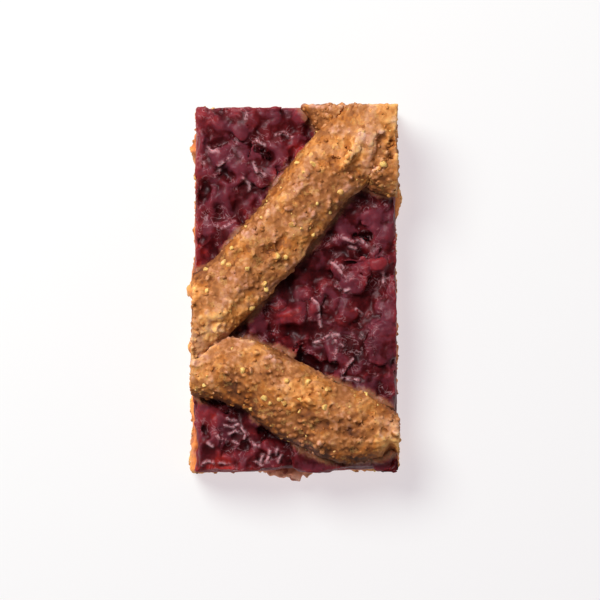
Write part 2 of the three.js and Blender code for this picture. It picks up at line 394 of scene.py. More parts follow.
class Amount:
    """A number that changes over a surface. Sums with it add the nodes that work them out."""

    def __init__(self, finish, socket):
        self.finish = finish
        self.socket = socket

    def _sum(self, operation, first, second, clamp=False):
        settings = {"operation": operation, "use_clamp": clamp}
        node = self.finish.node("ShaderNodeMath", settings, {0: first, 1: second})
        return Amount(self.finish, node.outputs[0])

    def __add__(self, other):
        return self._sum("ADD", self, other)

    def __radd__(self, other):
        return self._sum("ADD", other, self)

    def __sub__(self, other):
        return self._sum("SUBTRACT", self, other)

    def __rsub__(self, other):
        return self._sum("SUBTRACT", other, self)

    def __mul__(self, other):
        return self._sum("MULTIPLY", self, other)

    def __rmul__(self, other):
        return self._sum("MULTIPLY", other, self)

    def clamped(self):
        return self._sum("ADD", self, 0.0, clamp=True)

    def size(self):
        return self._sum("ABSOLUTE", self, 0.0)

    def ramped(self, start, end):
        """0 up to start, 1 from end on, and smooth between them."""
        inputs = {"Value": self, "From Min": start, "From Max": end}
        node = self.finish.node("ShaderNodeMapRange", {"interpolation_type": "SMOOTHSTEP"}, inputs)
        return Amount(self.finish, node.outputs["Result"])


class Finish:
    """A material and the nodes that make its pattern."""

    def __init__(self, name):
        self.material = bpy.data.materials.new(name)
        self.material.use_nodes = True
        self.tree = self.material.node_tree
        self.shader = self.tree.nodes["Principled BSDF"]
        self.place = self.node("ShaderNodeTexCoord").outputs["Object"]

    def connect(self, value, socket):
        """Links a socket or an amount to a node's input, or sets the input to a plain value."""
        if isinstance(value, Amount):
            value = value.socket
        if isinstance(value, bpy.types.NodeSocket):
            self.tree.links.new(value, socket)
        else:
            socket.default_value = value

    def node(self, kind, settings=None, inputs=None):
        made = self.tree.nodes.new(kind)
        for name, value in (settings or {}).items():
            if name == "stops":
                self.set_stops(made.color_ramp, value)
            else:
                setattr(made, name, value)
        for name, value in (inputs or {}).items():
            self.connect(value, made.inputs[name])
        return made

    def set_stops(self, ramp_of_colours, stops):
        elements = ramp_of_colours.elements
        while len(elements) < len(stops):
            elements.new(1.0)
        for element, (position, value) in zip(elements, stops):
            element.position = position
            element.color = (*value, 1.0)

    def noise(self, size, detail=2.0, roughness=0.5, distortion=0.0):
        """Cloudy noise, about 0.5 all over, with patches this size."""
        inputs = {"Vector": self.place, "Scale": 1 / size, "Detail": detail, "Roughness": roughness}
        inputs["Distortion"] = distortion
        return Amount(self, self.node("ShaderNodeTexNoise", None, inputs).outputs[0])

    def cells(self, size):
        """A number from 0 to 1 that belongs to each of the cells, this size, that fill the piece."""
        inputs = {"Vector": self.place, "Scale": 1 / size}
        cell = self.node("ShaderNodeTexVoronoi", None, inputs)
        parts = self.node("ShaderNodeSeparateColor", None, {"Color": cell.outputs["Color"]})
        return Amount(self, parts.outputs[0])

    def stored(self, name):
        """A number that was stored on the mesh."""
        node = self.node("ShaderNodeAttribute", {"attribute_name": name, "attribute_type": "GEOMETRY"})
        return Amount(self, node.outputs["Fac"])

    def near_pixel(self, pixel, reach):
        """1 at what the photograph shows at a pixel, falling to 0 at `reach` from it."""
        x, y = at_pixel(pixel)
        flat = self.node("ShaderNodeVectorMath", {"operation": "MULTIPLY"}, {0: self.place, 1: (1, 1, 0)})
        inputs = {0: flat.outputs["Vector"], 1: (x, y, 0)}
        away = self.node("ShaderNodeVectorMath", {"operation": "DISTANCE"}, inputs)
        return 1 - Amount(self, away.outputs["Value"]).ramped(0.2 * reach, reach)

    def ramp(self, tone, stops):
        """A colour for each tone from 0 to 1."""
        return self.node("ShaderNodeValToRGB", {"stops": stops}, {"Fac": tone}).outputs["Color"]

    def mix(self, share, first, second):
        inputs = {0: share, 6: first, 7: second}
        return self.node("ShaderNodeMix", {"data_type": "RGBA"}, inputs).outputs[2]

    def tint(self, share, under, by):
        """A colour multiplied by another one, as far as the share goes."""
        settings = {"data_type": "RGBA", "blend_type": "MULTIPLY"}
        return self.node("ShaderNodeMix", settings, {0: share, 6: under, 7: (*by, 1.0)}).outputs[2]

    def along(self, axis):
        """How far along an axis of the frame the surface is."""
        parts = self.node("ShaderNodeSeparateXYZ", None, {"Vector": self.place})
        return Amount(self, parts.outputs[axis])

    def bump(self, height, depth, strength=1.0):
        node = self.node("ShaderNodeBump", None, {"Height": height, "Distance": depth, "Strength": strength})
        self.set(Normal=node.outputs["Normal"])

    def set(self, **values):
        """Sets the shader's sockets; an underscore in a name stands for a space."""
        for name, value in values.items():
            self.connect(value, self.shader.inputs[name.replace("_", " ")])


DUSTY = (1.0, 1.0, 1.42)  # what the dough's colour is multiplied by in the duller patches
ORANGE = (1.1, 0.98, 0.6)  # in the more orange ones
SOAKED_AND_SHADED = (0.42, 0.28, 0.30)  # darker and redder where the rolls meet the jam: jam soaked in, and painted shade with red bounce light
JUICY = (0.95, 0.5, 0.36)  # where the jam has soaked into the base
SPECK = (0.75, 0.47, 0.14, 1.0)  # the colour of the finely ground nuts
# Where the dough is painted lighter and more orange: browned to gold at the edges, and painted light on the
# lit left edge and on the shaded near bulge. As pixels of the photograph, and how far round them.
GOLDEN_AND_LIT = (
    ((196, 345), 8 * MM), ((196, 385), 7 * MM), ((215, 325), 5 * MM), ((348, 150), 6 * MM),
    ((388, 120), 9 * MM), ((401, 197), 5 * MM), ((398, 440), 7 * MM), ((285, 390), 5 * MM),
    ((190, 290), 4 * MM), ((190, 465), 5 * MM), ((291, 479), 10 * MM), ((388, 454), 6 * MM),
    ((193, 402), 5 * MM), ((270, 130), 5 * MM),
)
BULGE = ((291, 479), 11 * MM)  # where jam has run over the base's near bulge, and how far round it
STAINED_AND_LIT = (1.0, 0.56, 0.44, 1.0)  # its colour there: the jam's stain, painted lighter than a stain as light against the slice's shade
JAM_SPOT = (0.36, 0.040, 0.036, 1.0)  # and where a drop of jam has stayed


def dough_finish(name, settings, soak_and_shade, lightness=0.0, orange=0.0):
    """Baked nut dough: each crumb with its own tone, with painted shade in the hollows and on a flank of
    each roll, painted light at listed spots, and patches of other hues.
    """
    finish = Finish(name)
    patches = finish.noise(8 * MM, 2.0)
    mottle = finish.noise(2.6 * MM, 3.0, 0.55)
    crumbs = finish.cells(0.95 * MM)
    grains = finish.noise(0.5 * MM, 2.0, 0.6)
    hollow = finish.stored("hollow")
    basin = finish.stored("basin")
    tone = (
        0.55 + lightness
        + 0.45 * (patches - 0.5)
        + 0.7 * (mottle - 0.5)
        + 0.2 * (crumbs - 0.5)
        + 0.14 * (grains - 0.5)
        # painted shade: darker in hollows, in basins and on each roll's shaded flank
        - 0.5 * hollow
        - 0.3 * basin
        - 0.4 * finish.stored("flank")
    )
    # Painted light at these spots, lighter and more orange, partly from browning.
    for pixel, reach in GOLDEN_AND_LIT:
        near = finish.near_pixel(pixel, reach)
        tone = tone + 0.22 * near
        orange = orange + 0.12 * near
    stops = [
        (0.0, tuple(settings.crevice_shade)),
        (0.28, tuple(settings.shade)),
        (0.52, tuple(settings.crust)),
        (0.76, tuple(settings.blush)),
        (1.0, tuple(settings.fleck)),
    ]
    hue = finish.noise(7 * MM, 4.0, 0.62, 0.4) + 0.12 * (patches - 0.5) + 0.12 * (crumbs - 0.5)
    dusty = 1 - hue.ramped(0.39 - orange, 0.53 - orange)
    golden = hue.ramped(0.50 - orange, 0.64 - orange)
    # Darker and redder near the jam: soaked in, and on the rolls also painted shade with red bounce light.
    juice_and_shade = (finish.stored("by_jam") + 0.9 * (mottle - 0.5)).ramped(0.05, 0.8)
    surface = finish.ramp(tone.clamped(), stops)
    surface = finish.tint(dusty * tone.ramped(0.3, 0.75), surface, DUSTY)
    surface = finish.tint(golden, surface, ORANGE)
    specks = finish.cells(1.3 * MM).ramped(0.84, 0.88) * grains.ramped(0.4, 0.55)
    surface = finish.mix(0.25 * specks, surface, SPECK)
    # The near bulge: jam stain, painted lighter as light against the slice's shade, with spots of jam.
    bulge = finish.near_pixel(*BULGE)
    surface = finish.mix(0.85 * bulge * (1 - hollow.ramped(0.1, 0.5)), surface, STAINED_AND_LIT)
    surface = finish.mix(0.7 * bulge * (1 - mottle.ramped(0.36, 0.46)), surface, JAM_SPOT)
    finish.set(
        Base_Color=finish.tint(0.85 * juice_and_shade, surface, soak_and_shade),
        Roughness=0.6 + 0.25 * grains,
        Specular_IOR_Level=0.25,
        Subsurface_Weight=0.08,
        Subsurface_Radius=(1.0, 0.45, 0.2),
        Subsurface_Scale=0.6 * MM,
    )
    finish.bump(grains + 0.3 * crumbs, 0.06 * MM, 0.35)
    return finish.material


# Where the jam is painted lighter and redder, partly as thin jam and partly as painted light where the long
# roll's shade falls, or deep and dark (below zero): pixels of the photograph, reach and how much.
JAM_DEPTHS_AND_LIGHT = (
    ((200, 258), 4.5 * MM, 0.6), ((209, 417), 3.5 * MM, 0.55), ((221, 468), 5.5 * MM, 0.55),
    ((299, 150), 4 * MM, 0.55), ((359, 347), 6.5 * MM, -0.35), ((364, 226), 8 * MM, 0.04),
    ((283, 322), 6 * MM, 0.25), ((204, 118), 5 * MM, 0.2),
)
# Light comes through the jam towards its cut edges: the axis, where that starts and is full, and how much.
THIN_EDGES = (
    ("X", -21.5 * MM, -24.0 * MM, 0.3), ("Y", -41.0 * MM, -43.5 * MM, 0.25),
    ("Y", 42.5 * MM, 44.5 * MM, 0.2), ("X", 22.0 * MM, 24.0 * MM, 0.15),
)
# Where the fruit's skins are paler, partly from their bloom and partly as painted sheen: pixels of the
# photograph, and how far round them.
BLOOM_AND_SHEEN = (((362, 226), 10 * MM), ((380, 318), 7 * MM), ((232, 160), 10 * MM), ((345, 292), 6 * MM))


def jam_finish(name, settings):
    """Wet cherry jam: near black in the hollows, from thick jam and painted shade; plum on the fruit's
    skins, from their bloom and painted sheen; red where it is thin; pale threads and painted glints.
    """
    finish = Finish(name)
    pieces = finish.cells(4.6 * MM)
    clouds = finish.noise(5 * MM, 3.0, 0.55, 0.6)
    pulp = finish.noise(1.1 * MM, 3.0, 0.6, 0.4)
    strands = finish.noise(2.4 * MM, 2.0, 0.5, 1.2)
    hollow = finish.stored("hollow")
    basin = finish.stored("basin")
    tone = (
        0.44
        + 1.15 * (clouds - 0.5)
        + 0.2 * (pieces - 0.5)
        + 0.25 * (pulp - 0.5)
        # darker in hollows and basins: thick jam there, and painted shade
        - 0.3 * hollow
        - 0.5 * basin
    )
    # Thin jam, and painted light where the long roll's shade falls; deeper jam at the spots below zero.
    for pixel, reach, amount in JAM_DEPTHS_AND_LIGHT:
        tone = tone + amount * finish.near_pixel(pixel, reach)
    for axis, start, full, amount in THIN_EDGES:
        tone = tone + amount * finish.along(axis).ramped(start, full)
    stops = [
        (0.0, tuple(settings.deep)),
        (0.42, tuple(settings.body)),
        (0.7, tuple(settings.fruit)),
        (1.0, tuple(settings.thin)),
    ]
    # Bloom and painted sheen on the skins, stronger at the listed spots and kept out of basins.
    bloom_and_sheen = sum((finish.near_pixel(pixel, reach) for pixel, reach in BLOOM_AND_SHEEN), 0.0)
    skins = (finish.noise(6 * MM, 4.0, 0.6, 0.8) + 0.1 * bloom_and_sheen - 0.3 * basin).ramped(0.48, 0.64)
    # Painted glints: thin pale lines on the higher jam, and pale threads of pulp.
    fine_painted_glints = (1 - (strands - 0.5).size().ramped(0.003, 0.035)) * clouds.ramped(0.5, 0.6)
    threads = finish.stored("thread") * pulp.ramped(0.38, 0.58)
    pale = (0.7 * threads + 0.24 * fine_painted_glints).clamped()
    # Dough smeared into the jam by the rolls, painted lighter where their shade falls.
    smeared = (finish.stored("by_roll") + 0.8 * (pulp - 0.5)).ramped(0.15, 0.8)
    surface = finish.ramp(tone.clamped(), stops)
    surface = finish.mix((0.46 + 0.16 * bloom_and_sheen) * skins, surface, (*settings.skin, 1.0))
    surface = finish.mix(0.85 * smeared, surface, (*settings.smear_and_light, 1.0))
    finish.set(
        Base_Color=finish.mix(pale, surface, (*settings.thread, 1.0)),
        Roughness=0.3 + 0.3 * pulp,
        Specular_IOR_Level=0.13,
        Specular_Tint=(1.0, 0.8, 0.86, 1.0),
        Subsurface_Weight=0.3,
        Subsurface_Radius=(1.0, 0.12, 0.12),
        Subsurface_Scale=1.2 * MM,
        Coat_Weight=0.04,
        Coat_Roughness=0.15,
    )
    finish.bump(pulp, 0.12 * MM, 0.35)
    return finish.material


def nut_finish(name, settings):
    """Chopped nut: pale yellow where cut, toasted towards the edges."""
    finish = Finish(name)
    toasting = finish.noise(1.3 * MM, 2.0)
    fibre = finish.noise(0.3 * MM, 2.0)
    share = (toasting + 0.5 * (fibre - 0.5)).ramped(0.42, 0.68)
    finish.set(
        Base_Color=finish.mix(share, (*settings.nut, 1.0), (*settings.toasted, 1.0)),
        Roughness=0.42 + 0.2 * fibre,
        Subsurface_Weight=0.15,
        Subsurface_Radius=(1.0, 0.6, 0.25),
        Subsurface_Scale=0.5 * MM,
    )
    finish.bump(fibre, 0.06 * MM, 0.6)
    return finish.material


# ---- Dough ----


def grained_textures(settings):
    """The patterns that give baked dough its relief, largest first."""
    lumps = texture("dough_lumps", "CLOUDS", noise_scale=4.6 * MM, noise_depth=2)
    crumbs = texture("dough_crumbs", "VORONOI", noise_scale=settings.grain)
    fine = texture("dough_fine", "CLOUDS", noise_scale=0.55 * MM, noise_depth=1)
    pits = only_above(texture("dough_pits", "CLOUDS", noise_scale=1.5 * MM, noise_depth=2), 0.72, 0.88)
    return lumps, crumbs, fine, pits


FINE_DEPTH = 0.1 * MM  # of the finest relief on dough and jam


def bake(piece, settings, lump_depth, where=""):
    """Turns a smooth skin of dough into a crumbly, pitted crust."""
    lumps, crumbs, fine, pits = grained_textures(settings)
    relief(piece, lumps, lump_depth, where=where)
    relief(piece, crumbs, -settings.grain_depth, 0.35, where)
    relief(piece, pits, -settings.pit_depth, 0.0, where)
    relief(piece, fine, FINE_DEPTH, where=where)


CRUMBS_APART = 5  # metres between them while they are shaped, so that each gets a pattern of its own


def crumb_kinds(rounds):
    """Three rough crumbs, each about 2 m long, ready to be scaled."""
    kinds = []
    for i in range(3):
        bpy.ops.object.select_all(action="DESELECT")
        place = Vector((CRUMBS_APART * i, 0, 0))
        bpy.ops.mesh.primitive_ico_sphere_add(subdivisions=rounds, radius=1.0, location=place)
        kind = bpy.context.active_object
        bpy.ops.object.transform_apply(location=True, rotation=True, scale=True)
        relief(kind, texture("crumb_lumps", "CLOUDS", noise_scale=0.6, noise_depth=2), 1.0)
        kind.data.transform(Matrix.Translation(-place))
        kinds.append(kind)
    return kinds


def with_nodules(piece, settings, lowest_up, highest_up):
    """Covers a piece with lumps of dough, half sunk in it."""
    chance = random.Random(len(piece.data.vertices))
    faces = faces_between([piece], lowest_up, highest_up)
    nodules = int(settings.nodules * sum(area for _, _, area in faces) / TEN_SQUARE_CM)
    kinds = crumb_kinds(2)
    bits = []
    for place, normal in spots_on(faces, nodules, chance):
        size = settings.nodule_size * chance.uniform(0.6, 1.0)
        turn = any_turn(chance)
        stretch = Vector((1.0, chance.uniform(0.7, 1), chance.uniform(0.6, 0.9))) * size
        kind = chance.choice(kinds)
        bits.append(copy_of(kind, place - normal * size * chance.uniform(0.2, 0.7), turn, stretch))
    clear_away(kinds)
    return join([piece, *bits], piece.name)


def keep_low(piece, level):
    """Presses down most of what stands out above a level."""
    corners = places(piece.data)
    corners[:, 2] -= PRESSED * np.maximum(corners[:, 2] - level, 0)
    move_to(piece.data, corners)


# Lumps that stand out of the base's cut sides: pixels of the photograph, and half the width in millimetres.
BASE_LUMPS = (
    ((273, 471), 1.7), ((283, 472), 2.0), ((295, 472), 2.2), ((307, 471), 1.8), ((197, 148), 1.8),
    ((195, 292), 2.0), ((195, 346), 1.7), ((196, 385), 1.8), ((197, 407), 1.6), ((197, 463), 2.0),
    ((391, 128), 1.6), ((394, 197), 2.0), ((391, 428), 1.7), ((391, 463), 1.8), ((394, 206), 1.6),
    ((197, 434), 1.3),
)
LUMPS_LOW, LUMPS_HIGH = 5.5 * MM, 7.0 * MM  # how high up the cut sides they stand out
LUMP_SEED = 7


def with_lumps(base):
    chance = random.Random(LUMP_SEED)
    kinds = crumb_kinds(3)
    lumps = []
    for pixel, size in BASE_LUMPS:
        place = Vector((*at_pixel(pixel), chance.uniform(LUMPS_LOW, LUMPS_HIGH)))
        turn = Euler((0, 0, FULL_TURN * chance.random()))
        kind = chance.choice(kinds)
        stretch = Vector((1.0, 1.0, chance.uniform(0.7, 1.1))) * size * MM
        lumps.append(copy_of(kind, place, turn, stretch))
    clear_away(kinds)
    return join([base, *lumps], base.name)


FOOT_LOW, FOOT_HIGH = 0.3 * MM, 1.6 * MM  # the base is plain below the first and rough above the second
BASE_RELIEF = 1.0 * MM  # how far the lumps of its cut sides stand out
JUICE_IN_BASE, SOAK_AND_SHADE_IN_ROLLS = 5.0 * MM, 6.0 * MM  # how far from the jam its juice has soaked in; on the rolls, also how far the painted shade reaches


def make_base(dough):
    base = with_nodules(with_lumps(copy_of_node("dough_base", "baked_base")), dough, -0.5, 0.5)
    corners = places(base.data)
    corners[:, 2] = np.maximum(corners[:, 2], 0)
    move_to(base.data, corners)
    remesh(base, dough.base_voxel)
    shape_by(base, "SMOOTH", factor=0.5, iterations=1)
    weigh(base, "above_foot", ramp(places(base.data)[:, 2], FOOT_LOW, FOOT_HIGH))
    bake(base, dough, BASE_RELIEF, "above_foot")
    keep_under(base, MOST_TRIANGLES)
    mark_hollows(base, "hollow", 4)
    mark_hollows(base, "basin", 25)
    store(base, "by_jam", closeness(places(base.data), ["cherry_jam"], JUICE_IN_BASE))
    settle(base, dough_finish("baked_base_dough", dough, JUICY, 0.14, 0.08), ["dough_base"])
    return base


# Folds and ridges that stand up from a piece, and creases and hollows in it, as lines in the photograph's
# pixels, each with half its width and how far it stands out (or, if negative, goes in), in millimetres.
FOLDS = {
    "long_roll": (
        (((360, 136), (355, 146), (350, 156), (343, 168)), 1.1, 1.0),
        (((372, 136), (370, 149), (366, 161)), 2.2, 0.8),
        (((381, 141), (378, 153), (373, 168)), 1.0, -0.9),
        (((391, 146), (388, 150)), 1.0, -1.0),
        (((382, 164), (385, 168)), 1.0, 0.8),
        (((331, 124), (313, 149), (304, 172), (287, 198), (262, 217), (243, 237), (229, 251)), 1.8, 0.6),
        (((346, 147), (338, 153), (334, 161)), 1.5, -1.1),
        (((308, 190), (304, 195), (311, 199)), 0.9, -0.7),
        (((284, 238), (279, 247), (269, 252), (262, 263)), 1.1, -1.1),
        (((277, 299), (268, 305), (261, 313)), 0.9, -0.8),
        (((246, 252), (238, 257)), 1.0, -0.8),
        (((238, 297), (222, 312), (208, 318)), 1.6, 0.6),
    ),
    "short_roll": (
        (((236, 338), (258, 348), (279, 361), (298, 373), (318, 388)), 1.7, 0.6),
        (((371, 411), (366, 419), (357, 427), (345, 430)), 1.1, -1.1),
        (((341, 421), (328, 425), (316, 422)), 1.0, -0.6),
        (((384, 427), (388, 439), (393, 452)), 0.9, -0.5),
        (((266, 416), (276, 428), (290, 435), (302, 443)), 1.0, 0.6),
        (((300, 407), (310, 411), (320, 410)), 1.0, -0.5),
        (((357, 448), (343, 451), (331, 450)), 1.2, -0.6),
    ),
    "corner_roll": (),
    "cherry_jam": (
        (((262, 149), (268, 156)), 2.0, -1.9),
        (((218, 209), (219, 216)), 1.3, -1.3),
        (((224, 172), (230, 177)), 1.3, -1.2),
        (((206, 186), (205, 198)), 1.3, -1.0),
        (((350, 263), (364, 259), (380, 252)), 1.5, -2.0),
        (((358, 236), (368, 237)), 1.0, -1.3),
        (((326, 300), (322, 314)), 1.2, -1.3),
        (((276, 331), (288, 332)), 1.4, -1.3),
        (((322, 374), (336, 367)), 1.4, -1.4),
        (((302, 356), (318, 368)), 1.1, -1.0),
        (((206, 397), (222, 402), (238, 412)), 1.4, -1.3),
        (((262, 432), (286, 443)), 1.1, -1.2),
        (((232, 449), (246, 447)), 1.4, -1.3),
        (((204, 428), (207, 436)), 1.1, -1.0),
        (((357, 284), (376, 262)), 2.4, 0.9),
        (((344, 238), (353, 242), (367, 248)), 1.0, 0.8),
        (((333, 266), (341, 273), (351, 279)), 0.8, 0.7),
        (((312, 300), (313, 310)), 0.9, 0.7),
        (((245, 112), (250, 122)), 1.5, 0.7),
        (((238, 140), (248, 160)), 2.2, 0.8),
    ),
}

# Pale threads of pulp on the jam, their pale colour partly painted glints: lines in the photograph's pixels,
# and how many millimetres they stand out.
THREADS_AND_GLINTS = (
    (((219, 165), (226, 160), (233, 156)), 0.5),
    (((215, 176), (220, 169)), 0.4),
    (((208, 147), (213, 152), (218, 150)), 0.4),
    (((276, 135), (284, 132), (292, 137)), 0.5),
    (((257, 141), (265, 145)), 0.4),
    (((242, 109), (247, 114), (246, 119)), 0.4),
    (((254, 163), (257, 172)), 0.4),
    (((261, 171), (265, 175)), 0.4),
    (((243, 178), (250, 184), (249, 190)), 0.4),
    (((222, 228), (234, 222)), 0.3),
    (((344, 238), (353, 242), (361, 240), (368, 246)), 0.5),
    (((349, 246), (358, 249)), 0.4),
    (((331, 262), (338, 268), (343, 275), (352, 279)), 0.5),
    (((336, 262), (343, 268)), 0.4),
    (((312, 299), (318, 304), (319, 316), (321, 327)), 0.5),
    (((356, 309), (362, 314)), 0.5),
    (((314, 343), (323, 340), (331, 333), (339, 335)), 0.4),
    (((331, 333), (336, 341), (343, 346)), 0.4),
    (((337, 349), (334, 361)), 0.4),
    (((353, 359), (347, 366), (343, 373)), 0.5),
    (((342, 378), (350, 379), (359, 380)), 0.5),
    (((336, 286), (340, 289)), 0.4),
    (((345, 291), (349, 289)), 0.4),
    (((383, 272), (384, 284)), 0.4),
    (((227, 418), (231, 421), (236, 420)), 0.5),
    (((224, 425), (233, 427), (238, 424)), 0.4),
    (((229, 434), (236, 431), (241, 433)), 0.5),
    (((242, 428), (246, 434), (244, 439)), 0.4),
    (((216, 434), (219, 438), (225, 440)), 0.4),
    (((208, 443), (213, 446)), 0.4),
    (((233, 441), (238, 444)), 0.4),
    (((263, 455), (261, 461)), 0.5),
    (((270, 450), (269, 456), (266, 462)), 0.5),
    (((277, 449), (276, 454)), 0.4),
    (((281, 455), (278, 462)), 0.4),
    (((256, 462), (262, 465)), 0.4),
    (((202, 465), (207, 461), (213, 462)), 0.4),
    (((219, 462), (229, 464)), 0.4),
    (((250, 440), (254, 445), (259, 446)), 0.4),
)


def press_line(piece, pixels, half_width, height):
    """Raises a fold, or presses a crease, along a line on top of a piece. Tells how near each corner is."""
    corners = places(piece.data)
    normals = normals_of(piece.data)
    line = [np.array(at_pixel(pixel)) for pixel in pixels]
    away = np.full(len(corners), np.inf)
    for start, end in zip(line, line[1:]):
        along = end - start
        share = np.clip((corners[:, :2] - start) @ along / (along @ along), 0, 1)
        away = np.minimum(away, np.linalg.norm(corners[:, :2] - start - share[:, None] * along, axis=1))
    nearness = np.exp(-((away / half_width) ** 2)) * ramp(normals[:, 2], 0.0, 0.6)
    move_to(piece.data, corners + (height * nearness)[:, None] * normals)
    return nearness


# Painted shade on each roll: the way that the flank painted darker faces, how steep it is where that starts,
# and how dark it gets.
PAINTED_SHADE_FLANKS = {
    "long_roll": ((-0.80, 0.60, 0.0), 0.5, 1.7),
    "short_roll": ((-0.61, -0.79, 0.0), 0.0, 1.5),
    "corner_roll": ((-0.61, -0.79, 0.0), 0.0, 1.0),
}
CORNER_SWELL = 0.3 * MM  # how much fuller the corner's dough is than its solid
ROLLS_TOP = CAD_HIGH.z - 0.1 * MM  # what stands above this on a roll is pressed down


def make_roll(node, dough, finish):
    roll = with_nodules(copy_of_node(node, node + "_baked"), dough, -0.4, STRAIGHT_UP)
    remesh(roll, dough.voxel)
    shape_by(roll, "SMOOTH", factor=0.5, iterations=2)
    # Painted shade on one flank of the roll, by the way its surface faces.
    direction, start, amount = PAINTED_SHADE_FLANKS[node]
    store(roll, "flank", amount * np.maximum(normals_of(roll.data) @ np.array(direction) - start, 0))
    for pixels, half_width, height in FOLDS[node]:
        press_line(roll, pixels, half_width * MM, height * MM)
    bake(roll, dough, dough.lump_depth)
    if node == "corner_roll":
        relief(roll, None, CORNER_SWELL, 0.0)
    keep_low(roll, ROLLS_TOP)
    keep_under(roll, MOST_TRIANGLES)
    mark_hollows(roll, "hollow", 4)
    mark_hollows(roll, "basin", 30)
    # How near the jam: where it has soaked in, and where the painted shade falls.
    store(roll, "by_jam", closeness(places(roll.data), ["cherry_jam"], SOAK_AND_SHADE_IN_ROLLS))
    settle(roll, finish, [node])
    return roll


# ---- Jam ----


def fruit_kinds():
    """Half a stoned cherry, a torn piece and a curled skin, each about 1 m across, ready to be scaled."""
    bpy.ops.object.select_all(action="DESELECT")
    bpy.ops.mesh.primitive_ico_sphere_add(subdivisions=4, radius=1.0)
    half = bpy.context.active_object
    corners = places(half.data)
    left_by_stone = np.exp(-(corners[:, 0] ** 2 + corners[:, 1] ** 2) / 0.18)
    corners[:, 2] -= 0.75 * left_by_stone * (corners[:, 2] > 0)
    move_to(half.data, corners)
    relief(half, texture("half_creases", "CLOUDS", noise_scale=0.7), 0.35)

    bpy.ops.object.select_all(action="DESELECT")
    bpy.ops.mesh.primitive_cube_add(size=1.5)
    torn = bpy.context.active_object
    edit(torn, bpy.ops.mesh.subdivide, number_cuts=12, smoothness=0.7)
    relief(torn, texture("torn_sides", "CLOUDS", noise_scale=0.8, noise_depth=2), 0.7)

    bpy.ops.object.select_all(action="DESELECT")
    bpy.ops.mesh.primitive_ico_sphere_add(subdivisions=4, radius=1.0)
    skin = bpy.context.active_object
    edit(skin, bpy.ops.mesh.bisect, plane_co=(0, 0, 0.25), plane_no=(0.3, 0.2, 1), clear_inner=True)
    relief(skin, texture("skin_folds", "CLOUDS", noise_scale=0.5), 0.5)
    shape_by(skin, "SOLIDIFY", thickness=0.2, offset=0)
    return [half, torn, skin]


HALF_WIDTH = 24.0 * MM  # half the jam's width at the far end
NEAR_SPREAD = 0.8 * MM  # what is added to that at the near end
HALF_LENGTH = 44.0 * MM
CUT_INSET = 0.15 * MM  # how far the finished jam stays inside the cuts
LIP_HEIGHT = 1.3 * MM  # how far the jam is drawn up against a roll
LIP_REACH = 2.4 * MM  # and how far from the roll that starts
TOP_RELIEF = 1.1 * MM  # what stands further than this above the jam's top is pressed down
JAM_SWELL = 0.3 * MM  # how much fuller the jam is than its solid, away from the cuts
CUT_RELIEF = 0.45 * MM  # how rough it is all over, its cut sides too
THREAD_WIDTH = 0.64 * MM


def trim_to_cut(piece):
    """Presses what stands out of the knife's cuts back to them."""
    low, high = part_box("cherry_jam")
    corners = places(piece.data)
    along = (corners[:, 1] - low.y) / (high.y - low.y)
    half_width = HALF_WIDTH + NEAR_SPREAD * (1 - along) - CUT_INSET
    corners[:, 0] = np.clip(corners[:, 0], -half_width, half_width)
    corners[:, 1] = np.clip(corners[:, 1], low.y + CUT_INSET, high.y - CUT_INSET)
    move_to(piece.data, corners)


def jam_textures():
    """The patterns that give the jam its relief, largest first."""
    mounds = texture("jam_mounds", "CLOUDS", noise_scale=8 * MM, noise_depth=1)
    skins = texture(
        "jam_skins", "VORONOI", noise_scale=6.5 * MM, weight_1=-1, weight_2=1, noise_intensity=2.0
    )
    wrinkles = texture(
        "jam_wrinkles", "MUSGRAVE", musgrave_type="RIDGED_MULTIFRACTAL", noise_scale=2.6 * MM, octaves=2,
        noise_intensity=0.5,
    )
    pulp = texture("jam_pulp", "CLOUDS", noise_scale=0.9 * MM, noise_depth=1)
    cut = texture("jam_cut_sides", "CLOUDS", noise_scale=2.5 * MM, noise_depth=2)
    return mounds, skins, wrinkles, pulp, cut


FRUIT_LEAN = 0.5  # how far a piece of fruit leans, in radians from one side to the other
BED_DEPTH = 1.6 * MM  # what lies deeper than this is the bed of a roll, where no fruit is added


def pieces_of_fruit(filling, jam):
    """Fruit spread over the top of the jam, most of each piece sunk in."""
    chance = random.Random(jam.seed)
    low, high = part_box("cherry_jam")
    kinds = fruit_kinds()
    fruit = []
    rows = int((high.y - low.y) / jam.fruit_pitch)
    columns = int((high.x - low.x) / jam.fruit_pitch)
    for row in range(rows + 1):
        for column in range(columns + 1):
            x = low.x + (column + chance.random()) * jam.fruit_pitch
            y = low.y + (row + chance.random()) * jam.fruit_pitch
            lean = [FRUIT_LEAN * (chance.random() - 0.5) for _ in range(2)]
            turn = Euler((*lean, FULL_TURN * chance.random()))
            long = jam.fruit_size * (0.5 + 0.5 * chance.random())
            size = Vector((long, long * (0.55 + 0.35 * chance.random()), long * 0.34))
            kind = chance.choice(kinds)
            sunk = (0.55 + 0.45 * chance.random()) * size.z
            hit, place, _, _ = filling.ray_cast(Vector((x, y, ABOVE_ALL)), DOWN)
            if hit and place.z >= JAM_TOP - BED_DEPTH:
                fruit.append(copy_of(kind, place - Vector((0, 0, sunk)), turn, size))
    clear_away(kinds)
    return fruit


def weigh_parts(filling):
    """Weights that keep relief off the foot of the jam, and off its cut sides."""
    corners = places(filling.data)
    weigh(filling, "upper", ramp(corners[:, 2], JAM_TOP - 3.0 * MM, JAM_TOP - 1.2 * MM))
    across = ramp(np.abs(corners[:, 0]), HALF_WIDTH - 1.4 * MM, HALF_WIDTH - 0.4 * MM)
    along = ramp(np.abs(corners[:, 1]), HALF_LENGTH - 1.6 * MM, HALF_LENGTH - 0.6 * MM)
    weigh(filling, "inner", 1 - np.maximum(across, along))


